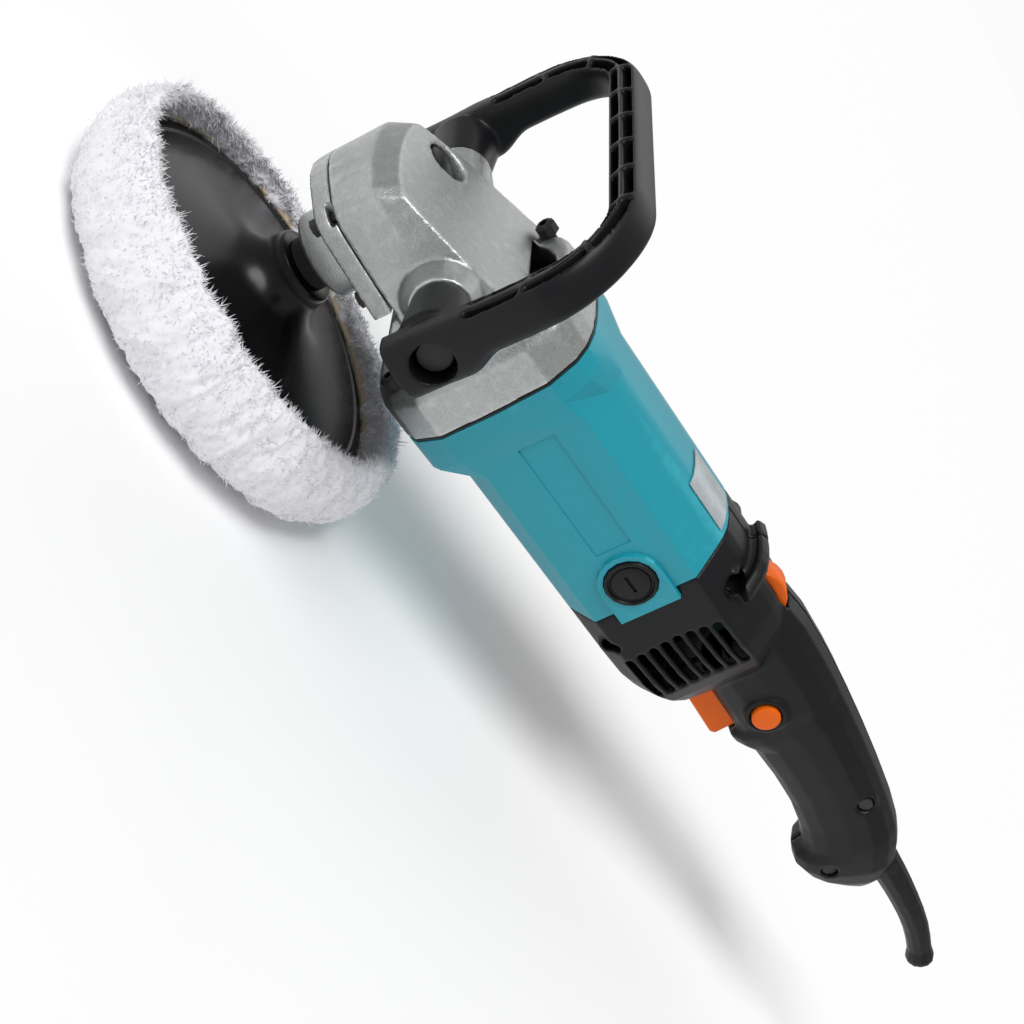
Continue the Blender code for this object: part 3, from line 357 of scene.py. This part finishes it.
def stripes(made, scale, amount):
    """Adds fine parallel lines across X to a finish, as on laminations and wound wire."""
    tree = made.node_tree
    relief = next(node for node in tree.nodes if node.type == "BUMP")
    place = tree.nodes.new("ShaderNodeTexCoord")
    wave = tree.nodes.new("ShaderNodeTexWave")
    wave.inputs["Scale"].default_value = scale
    second = tree.nodes.new("ShaderNodeBump")
    second.inputs["Strength"].default_value = amount
    second.inputs["Distance"].default_value = 0.0005
    link(tree, place.outputs["Object"], wave.inputs["Vector"])
    link(tree, wave.outputs["Fac"], second.inputs["Height"])
    link(tree, relief.outputs["Normal"], second.inputs["Normal"])
    link(tree, second.outputs["Normal"], tree.nodes["Principled BSDF"].inputs["Normal"])
    return made


# The third colour of a finish, where given, is a painted edge highlight: paler than the base, standing in for light on
# its edges.
FINISHES = {
    "wool": finish("wool", (0.87, 0.86, 0.90), roughness=0.95, spread=0.04, bump=0.7, fine=1100, coarse=55, shade=0.05,
                   constants={"Sheen Weight": 0.2, "Sheen Roughness": 0.6, "Subsurface Weight": 0.25,
                              "Subsurface Radius": (0.012, 0.012, 0.013), "Specular IOR Level": 0.1}),
    "cast_aluminium": finish("cast_aluminium", (0.43, 0.445, 0.44), (0.80, 0.82, 0.82), roughness=0.36, spread=0.2,
                             metallic=0.85, bump=0.9, fine=1700, coarse=600, shade=0.5, highlight_span=(0.54, 0.64),
                             tint_by="Height"),
    "steel": finish("steel", (0.45, 0.45, 0.46), (0.8, 0.8, 0.8), roughness=0.28, metallic=1.0, bump=0.08),
    "dark_steel": finish("dark_steel", (0.006, 0.006, 0.0065), (0.03, 0.03, 0.032), roughness=0.34, bump=0.15,
                         constants={"Specular IOR Level": 0.25}),
    "laminations": stripes(finish("laminations", (0.07, 0.07, 0.075), roughness=0.5, metallic=0.6), 180.0, 0.6),
    "copper": stripes(finish("copper", (0.62, 0.25, 0.11), roughness=0.32, metallic=1.0), 140.0, 0.8),
    "brass": finish("brass", (0.70, 0.52, 0.22), (0.9, 0.75, 0.4), roughness=0.3, metallic=1.0),
    "teal_plastic": finish("teal_plastic", (0.008, 0.30, 0.385), (0.08, 0.52, 0.60), roughness=0.36, spread=0.05,
                           bump=0.08, fine=1500, coarse=30, shade=0.03, highlight_span=(0.58, 0.72),
                           constants={"Specular IOR Level": 0.45}),
    "black_plastic": finish("black_plastic", (0.0055, 0.006, 0.007), (0.016, 0.016, 0.018), roughness=0.38,
                            spread=0.05, bump=0.10, fine=1500, coarse=40, shade=0.15, highlight_span=(0.60, 0.75),
                            constants={"Specular IOR Level": 0.24}),
    "gloss_rubber": finish("gloss_rubber", (0.004, 0.004, 0.0045), roughness=0.26, spread=0.04, bump=0.03, fine=500,
                           coarse=25, shade=0.2, constants={"Specular IOR Level": 0.32}),
    "black_rubber": finish("black_rubber", (0.007, 0.007, 0.0075), (0.02, 0.02, 0.021), roughness=0.38, bump=0.10,
                           fine=1100, shade=0.2, constants={"Specular IOR Level": 0.24}),
    "orange_plastic": finish("orange_plastic", (0.80, 0.125, 0.001), (0.92, 0.24, 0.02), roughness=0.42, bump=0.10,
                             fine=1500, shade=0.05, highlight_span=(0.60, 0.72), constants={"Specular IOR Level": 0.25}),
    # Near-black green: painted shade, the board darkened so that it looks as dark as the shaded inside of the housing
    # through the vents.
    "board_green": finish("board_green", (0.004, 0.03, 0.012), roughness=0.35),
    "carbon": finish("carbon", (0.02, 0.02, 0.021), roughness=0.55),
    "label_film": finish("label_film", (0.44, 0.48, 0.50), roughness=0.25, metallic=0.25, bump=0.02, coarse=120,
                         shade=0.35),
    "skin": finish("skin", (0.60, 0.49, 0.33), roughness=0.8, bump=0.4, fine=800),
}


def paint(obj, name):
    """Gives an object one finish."""
    obj.data.materials.clear()
    obj.data.materials.append(FINISHES[name])
    return obj


# Voxel size in millimetres and smoothing passes of the cast and moulded nodes
MELTS = {"gear_housing": (0.8, 7), "gear_cover": (0.6, 3), "handle_shell_left": (0.9, 6),
         "handle_shell_right": (0.9, 6), "cord_guard": (0.5, 3), "trigger": (0.4, 3), "lock_on_button": (0.4, 2)}
# Bevel width in millimetres of nodes whose edges catch the light
BEVELS = {"motor_housing": 0.7, "brush_cap_left": 0.3, "brush_cap_right": 0.3, "bearing_retainer": 0.5,
          "shaft_lock_button": 0.3, "speed_dial": 0.3}
# Degrees past which an edge is sharp, and the nodes that need another angle
SHARP = 32
CRISP = {"motor_housing": 16}
WELD_REACH = 0.01 * MM
SLOTS = {entry["node"]: entry["material_slot"] for entry in frame["record"]["subparts"]}


def paint_nodes():
    """Gives every CAD node its finish, and rounds the edges of cast and moulded ones."""
    for name, obj in NODES.items():
        # The spindle gets dark steel rather than its own slot's finish: painted shade for the dark neck between the
        # pad hub and the retainer.
        paint(obj, "dark_steel" if name == "spindle" else SLOTS[name])
        obj.data.polygons.foreach_set("use_smooth", [True] * len(obj.data.polygons))
        weld = obj.modifiers.new("Weld", "WELD")
        weld.merge_threshold = WELD_REACH
        if name in MELTS:
            voxel, passes = MELTS[name]
            melt(obj, voxel)
            relax(obj, passes)
            continue
        turn = math.radians(CRISP.get(name, SHARP))
        if name in BEVELS:
            soften = obj.modifiers.new("Soften", "BEVEL")
            soften.width = BEVELS[name] * MM
            soften.segments = 2
            soften.limit_method = "ANGLE"
            soften.angle_limit = turn
        split = obj.modifiers.new("Split", "EDGE_SPLIT")
        split.split_angle = turn


def dress(obj, finish_name, body, *nodes):
    """Paints a new piece, makes it ride on a body, and lets it stand for CAD nodes."""
    paint(obj, finish_name)
    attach(obj, body)
    if nodes:
        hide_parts(*nodes)
    return obj


# Wool bonnet

DEEPEST_FRINGE = math.radians(-112.0)
DRIFT_DIRECTION = math.radians(-25.0)
PROFILE_SAMPLES = 400
HAIR_RADIUS = 0.34
HAIR_SINK = 0.8


def rim_share(angle):
    """Share of the full fringe height round the bonnet, one cosine wave: deepest at the left front."""
    return (0.5 + 0.5 * np.cos(angle - DEEPEST_FRINGE)) ** 0.8


BONNET_PROFILE = np.array([
    # radius, height, and what the fringe adds to each at its deepest
    (4.0, 0.5, 0, 0), (40, 0.6, 0, 0), (74, 0.8, 0, 0), (85.5, 2.6, 0, 0), (91.5, 6.5, 0, 0), (94.6, 11.5, 0, 1.5),
    (95.2, 16.0, 0, 6), (94.3, 20.0, -2.2, 12.5), (92.2, 23.0, -5.0, 18.5), (89.6, 23.6, -6.6, 20.4),
    (87.2, 21.8, -6.6, 17.5), (86.0, 18.6, -3.2, 9.0), (85.8, 14.5, -0.6, 2.0), (85.9, 12.0, 0, 0)])


def bonnet_point(angle, along):
    """Centre surface of the fleece: a Catmull-Rom profile in (radius, height), carried round and raised by the rim
    share, and drifted sideways where the fleece leans out past the pad."""
    table = smooth_line(BONNET_PROFILE, PROFILE_SAMPLES)
    place = along * (PROFILE_SAMPLES - 1)
    k = np.clip(place.astype(int), 0, PROFILE_SAMPLES - 2)
    f = (place - k)[..., None]
    row = table[k] * (1 - f) + table[k + 1] * f
    share = rim_share(angle)
    radius = row[..., 0] + row[..., 2] * share
    height = row[..., 1] + row[..., 3] * share
    outside = np.clip((radius - 86) / 6, 0, 1)
    radius = radius + outside * BONNET_DRIFT * np.cos(angle - DRIFT_DIRECTION)
    return np.stack([radius * np.cos(angle), radius * np.sin(angle), height], -1)


def bonnet_normal(angle, along):
    """Outward normal of the fleece from the cross product of its two tangents, by central differences."""
    step = 0.002
    across = bonnet_point(angle + step, along) - bonnet_point(angle - step, along)
    up = bonnet_point(angle, np.clip(along + step, 0, 1)) - bonnet_point(angle, np.clip(along - step, 0, 1))
    normal = np.cross(across, up)
    return normal / np.maximum(np.linalg.norm(normal, axis=-1, keepdims=True), 1e-9)


def clump_height(turn, along):
    """Fleece relief: wide clumps, narrower locks that run along the pile, and a fine fuzz."""
    fade = np.clip((along - 0.12) / 0.15, 0.15, 1)
    clumps = lattice_noise(turn, along, 64, 9, SEED) * 1.3
    locks = lattice_noise(turn + 0.004 * lattice_noise(turn, along, 90, 12, SEED + 4), along, 190, 16, SEED + 1) * 0.9
    fuzz = lattice_noise(turn, along, 460, 60, SEED + 2) * 0.45
    return (clumps + locks + fuzz) * fade


def wool_base():
    """Fleece body: the bonnet surface pushed along its normal by the clump height."""
    rows, around = 110, 760
    along, turn = np.meshgrid(np.linspace(0, 1, rows), np.arange(around) / around, indexing="ij")
    angle = turn * 2 * np.pi
    points = bonnet_point(angle, along) + bonnet_normal(angle, along) * clump_height(turn, along)[..., None]
    points[..., 2] = np.maximum(points[..., 2], 0.0)
    return skin("wool_fleece", points)


def tufts(name, count, low, high, length, seed, lean, only=None):
    """Tapered curved hairs on the fleece. Each is four rings of three points along
    root + length * (t direction + t^2 bend), with its radius shrinking as (1 - t)^0.7."""
    rng = np.random.default_rng(seed)
    turn, along = rng.random(count), rng.uniform(low, high, count)
    angle = turn * 2 * np.pi
    if only is not None:
        keep = only(angle, rng.random(count))
        turn, along, angle = turn[keep], along[keep], angle[keep]
    count = len(turn)
    normal = bonnet_normal(angle, along)
    root = bonnet_point(angle, along) + normal * (clump_height(turn, along)[:, None] - HAIR_SINK)
    forward = bonnet_point(angle, np.clip(along + 0.01, 0, 1)) - bonnet_point(angle, np.clip(along - 0.01, 0, 1))
    forward /= np.linalg.norm(forward, axis=1, keepdims=True) + 1e-9
    side = np.cross(normal, forward)
    swirl = lattice_noise(turn, along, 40, 8, seed + 5)[:, None]
    direction = normal + forward * (lean + 0.5 * rng.standard_normal((count, 1)))
    direction += side * (1.2 * swirl + 0.45 * rng.standard_normal((count, 1)))
    direction /= np.linalg.norm(direction, axis=1, keepdims=True)
    bend = 0.45 * rng.standard_normal((count, 3))
    reach = length * rng.uniform(0.55, 1.25, (count, 1))
    across = np.cross(direction, rng.standard_normal((count, 3)))
    across /= np.linalg.norm(across, axis=1, keepdims=True)
    other = np.cross(direction, across)
    rings = []
    for t in (0.0, 0.45, 0.8, 1.0):
        middle = root + reach * (t * direction + t * t * bend)
        wide = HAIR_RADIUS * (1 - t) ** 0.7 + 0.03
        for corner in np.arange(3) * 2 * np.pi / 3:
            rings.append(middle + wide * (across * math.cos(corner) + other * math.sin(corner)))
    verts = np.stack(rings, 1)
    verts[..., 2] = np.maximum(verts[..., 2], 0.0)
    local = grid_faces(4, 3, closed_columns=True)
    quads = (local[None] + (np.arange(count) * 12)[:, None, None]).reshape(-1, 4)
    mesh = bpy.data.meshes.new(name)
    mesh.from_pydata((verts.reshape(-1, 3) * MM).tolist(), [], quads[:, ::-1].tolist())
    mesh.shade_smooth()
    obj = bpy.data.objects.new(name, mesh)
    bpy.context.scene.collection.objects.link(obj)
    return obj


def skin_band():
    """Cream hide edge of the bonnet, a thin flat loop round the pad's rim."""
    angle = np.linspace(0, 2 * np.pi, 240, endpoint=False)
    loop = rounded(np.array([(84.9, 16.6), (88.6, 18.4), (88.9, 19.6), (85.0, 17.8)]), 0.4)
    ripple = 0.5 * lattice_noise(angle / (2 * np.pi), np.zeros_like(angle), 30, 1, SEED)
    rings = np.stack([(loop[:, :1] + ripple) * np.cos(angle), (loop[:, :1] + ripple) * np.sin(angle),
                      loop[:, 1:] + ripple * 0.6], -1)
    faces = grid_faces(len(loop), 240, closed_rows=True, closed_columns=True)
    return piece("bonnet_hide_edge", rings.reshape(-1, 3), faces.tolist())


def wool():
    """The whole bonnet: fleece, hide edge, side pile and the long fringe round its mouth."""
    body = dress(wool_base(), "wool", "spindle_unit", "wool_bonnet")
    dress(skin_band(), "skin", "spindle_unit")
    for name, count, low, high, length, lean in (("wool_side_pile", 10500, 0.26, 0.60, 2.0, 1.4),
                                                 ("wool_rim_pile", 10500, 0.50, 0.80, 2.4, 1.2),
                                                 ("wool_mouth_fringe", 8500, 0.68, 0.92, 2.8, 0.6)):
        keep = (lambda angle, draw: draw < 0.12 + rim_share(angle)) if name == "wool_mouth_fringe" else None
        seed = SEED + count % 97 + int(low * 100)
        dress(tufts(name, count, low, high, length, seed, lean, keep), "wool", "spindle_unit")


# Backing pad

def pad():
    """Rubber pad: a turned trumpet with a raised bead near its rim."""
    back = smooth_line([(16.4, 46.0), (17.4, 42.0), (20.5, 36.8), (26.0, 32.2), (36.0, 27.8), (50.0, 23.8),
                        (66.0, 20.2), (76.0, 18.0)], 60)
    bead = np.array([(77.2, 17.75), (77.6, 18.35), (78.8, 18.15), (79.2, 17.35), (83.6, 16.5),
                     (PAD_RADIUS - 0.2, 15.6), (PAD_RADIUS, 14.6), (PAD_RADIUS - 0.4, 12.6), (83.6, 11.8),
                     (11.3, 11.8), (11.3, 46.3), (7.6, 46.3), (7.6, 48.6), (8.2, 49.0), (15.4, 49.0), (16.0, 48.4)])
    dress(lathe("rubber_pad", np.vstack([back, bead]), 220), "gloss_rubber", "spindle_unit", "backing_pad")


# Loop handle

RECESS_Y = 86.0
RECESS_RADIUS = 8.7
BOLT_RADIUS = 4.3
POCKET_START = 34.0
POCKET_COUNT = 11
RIB = 2.4


def rod(name, start, end, radius, end_radius=None, steps=56):
    """A round bar: circles of two radii round the ends of a line that isn't upright."""
    start, end = np.array(start, float), np.array(end, float)
    line = (end - start) / np.linalg.norm(end - start)
    across = np.cross(line, (0.0, 0.0, 1.0))
    other = np.cross(line, across)
    angle = np.linspace(0, 2 * np.pi, steps, endpoint=False)[:, None]
    turn = across * np.cos(angle) + other * np.sin(angle)
    return skin(name, [start + turn * radius, end + turn * (radius if end_radius is None else end_radius)])


def loop_walls():
    """Outer and inner wall of the loop in (y, z) from the left foot to the right foot: a straight arm, a quarter
    circle and half the bar, then the same mirrored."""
    foot = PIVOT[1] - 15.5
    walls = []
    for y, z, radius in ((ARM_Y[1], BAR_Z[1], CORNER[1]), (ARM_Y[0], BAR_Z[0], CORNER[0])):
        arm = np.stack([np.full(40, y), np.linspace(foot, z - radius, 40, endpoint=False)], -1)
        turn = np.linspace(0, np.pi / 2, 36)
        bend = np.stack([y - radius + radius * np.cos(turn), z - radius + radius * np.sin(turn)], -1)
        bar = np.stack([np.linspace(y - radius, 0, 30)[1:], np.full(29, z)], -1)
        half = np.vstack([arm, bend, bar])
        walls.append(np.vstack([half * [-1, 1], half[-2::-1]]))
    return walls


def loop_place(x, y, z):
    """Where a point of the straight loop goes: arms bow out by a half sine and close in towards the bar, and the
    whole shape is sheared back about the pivot."""
    rise = z - PIVOT[1]
    share = np.minimum(1.0, np.abs(y) / ARM_Y[0]) * np.sign(y)
    bow = LOOP_BOW * np.sin(np.pi * np.clip(rise / (BAR_Z[1] - PIVOT[1]), 0, 1))
    return np.stack([x + ARM_LEAN * rise, y + share * (bow - ARM_TAPER * np.maximum(0, rise)), z], -1)


def loop_handle():
    """Moulded loop: a rounded section, |a|^n + |b|^n = 1 with n = 3, swept between the two walls, with a boss and a
    wider foot on each arm, ribbed pockets in front and a deep recess over each bolt."""
    outer, inner = loop_walls()
    middle, half = (outer + inner) / 2, (outer - inner) / 2
    angle = np.linspace(0, 2 * np.pi, 64, endpoint=False)
    across = np.sign(np.cos(angle)) * np.abs(np.cos(angle)) ** (2 / 3.0)
    along_x = np.sign(np.sin(angle)) * np.abs(np.sin(angle)) ** (2 / 3.0)
    point = middle[:, None] + half[:, None] * across[None, :, None]
    flare = np.clip((PIVOT[1] + 26.0 - middle[:, 1]) / 16.0, 0, 1)[:, None]
    flare = flare * flare * (3 - 2 * flare)
    half_width = (ARM_X[1] - ARM_X[0]) / 2 + FOOT_FLARE * flare
    x = sum(ARM_X) / 2 + FOOT_SHIFT * flare + half_width * along_x
    solids = [skin("arm_and_bar", loop_place(x, point[..., 0], point[..., 1]))]
    cuts = []
    px, pz = PIVOT
    for side in (-1, 1):
        solids.append(rod("arm_boss", (px, side * (LUG_Y + 0.3), pz), (px, side * (ARM_Y[0] + 4), pz), 12.0, 15.0))
        cuts.append(rod("bolt_recess", (px, side * RECESS_Y, pz), (px, side * 110, pz), RECESS_RADIUS))
        cuts.append(rod("bolt_hole", (px, side * 50, pz), (px, side * 110, pz), BOLT_RADIUS))
    step = np.linalg.norm(np.diff(middle, axis=0), axis=1)
    length = np.concatenate([[0], np.cumsum(step)])
    pitch = (length[-1] - 2 * POCKET_START) / POCKET_COUNT
    for k in range(POCKET_COUNT):
        start = POCKET_START + k * pitch
        reach = np.linspace(start + RIB / 2, start + pitch - RIB / 2, 9)
        spot = np.stack([np.interp(reach, length, middle[:, i]) for i in (0, 1)], -1)
        out = np.stack([np.interp(reach, length, half[:, i]) for i in (0, 1)], -1)
        unit = out / np.linalg.norm(out, axis=1, keepdims=True)
        for row in (-0.40, 0.40):
            centre = spot + out * row
            front, floor = ARM_X[0] - 4, ARM_X[0] + 8
            corners = [(front, -2.0), (front, 2.0), (floor, 1.6), (floor, -1.6)]
            rings = [loop_place(np.full(9, cx), *(centre + unit * cy).T) for cx, cy in corners]
            cuts.append(skin("pocket", np.stack(rings, 1)))
    dress(fuse("loop_handle_moulding", solids, cuts, 0.72, 3), "black_plastic", "housing", "loop_handle")


# Shaft lock spring

def lock_spring():
    """Spring under the shaft lock button: a helix r (cos a, sin a) with z rising in a, thickened by a small circle in
    the plane of its radius and Z."""
    low, high = node_box("shaft_lock_spring")
    middle = (low + high) / 2
    wire, turns = 0.4, 4
    radius = (high[0] - low[0]) / 2 - wire
    angle = np.linspace(0, 2 * np.pi * turns, 40 * turns + 1)
    out = np.stack([np.cos(angle), np.sin(angle), np.zeros_like(angle)], -1)
    line = out * radius + [middle[0], middle[1], 0]
    line[:, 2] = np.linspace(low[2] + wire, high[2] - wire, len(angle))
    round_wire = np.linspace(0, 2 * np.pi, 10, endpoint=False)[None, :, None]
    rings = line[:, None] + wire * (np.cos(round_wire) * out[:, None] + np.sin(round_wire) * [0, 0, 1])
    spring = dress(skin("lock_spring_coil", rings), "steel", "housing", "shaft_lock_spring")
    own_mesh(spring)


paint_nodes()
wool()
pad()
loop_handle()
lock_spring()


# Studio

# Name, direction towards the light, strength and width in degrees
SUNS = (("key", (-0.50, -0.30, 1.0), 2.0, 35), ("side", (0.6, -1.0, 0.55), 0.12, 60),
        ("back", (0.2, 1.0, 0.8), 0.45, 50))
CAMERA_PLACE = (-0.24816, -0.65827, 0.33434)
CAMERA_LENS = 64.9
# Columns point right, up and back
CAMERA_TURN = Matrix(((0.5269, -0.6988, -0.4838), (0.0433, 0.5906, -0.8058), (0.8488, 0.4037, 0.3414)))


def studio():
    """Pale floor and sky, and three soft suns."""
    scene = bpy.context.scene
    bpy.ops.mesh.primitive_plane_add(size=30, location=(0, 0, -0.002))
    floor = bpy.context.active_object
    floor.name = "floor"
    ground = bpy.data.materials.new("floor_white")
    ground.use_nodes = True
    matt = ground.node_tree.nodes["Principled BSDF"]
    matt.inputs["Base Color"].default_value = (0.97, 0.97, 0.97, 1)
    matt.inputs["Roughness"].default_value = 0.9
    floor.data.materials.append(ground)
    world = bpy.data.worlds.new("sky")
    scene.world = world
    world.use_nodes = True
    tree = world.node_tree
    glow = tree.nodes["Background"]
    glow.inputs["Color"].default_value = (1.0, 1.0, 1.0, 1)
    glow.inputs["Strength"].default_value = 0.38
    seen = tree.nodes.new("ShaderNodeBackground")
    seen.inputs["Color"].default_value = (1.0, 1.0, 1.0, 1)
    seen.inputs["Strength"].default_value = 0.97
    rays = tree.nodes.new("ShaderNodeLightPath")
    choose = tree.nodes.new("ShaderNodeMixShader")
    link(tree, rays.outputs["Is Camera Ray"], choose.inputs[0])
    link(tree, glow.outputs[0], choose.inputs[1])
    link(tree, seen.outputs[0], choose.inputs[2])
    link(tree, choose.outputs[0], tree.nodes["World Output"].inputs["Surface"])
    for name, direction, strength, spread in SUNS:
        light = bpy.data.lights.new(name, "SUN")
        light.energy = strength
        light.angle = math.radians(spread)
        lamp = bpy.data.objects.new(name, light)
        lamp.rotation_euler = Vector(direction).to_track_quat("Z", "Y").to_euler()
        scene.collection.objects.link(lamp)
    scene.view_settings.view_transform = "Standard"
    camera = bpy.data.cameras.new("camera")
    camera.sensor_width = 36
    camera.lens = CAMERA_LENS
    camera.clip_start = 0.01
    eye = bpy.data.objects.new("camera", camera)
    eye.matrix_world = Matrix.Translation(CAMERA_PLACE) @ CAMERA_TURN.to_4x4()
    scene.collection.objects.link(eye)
    scene.camera = eye


studio()
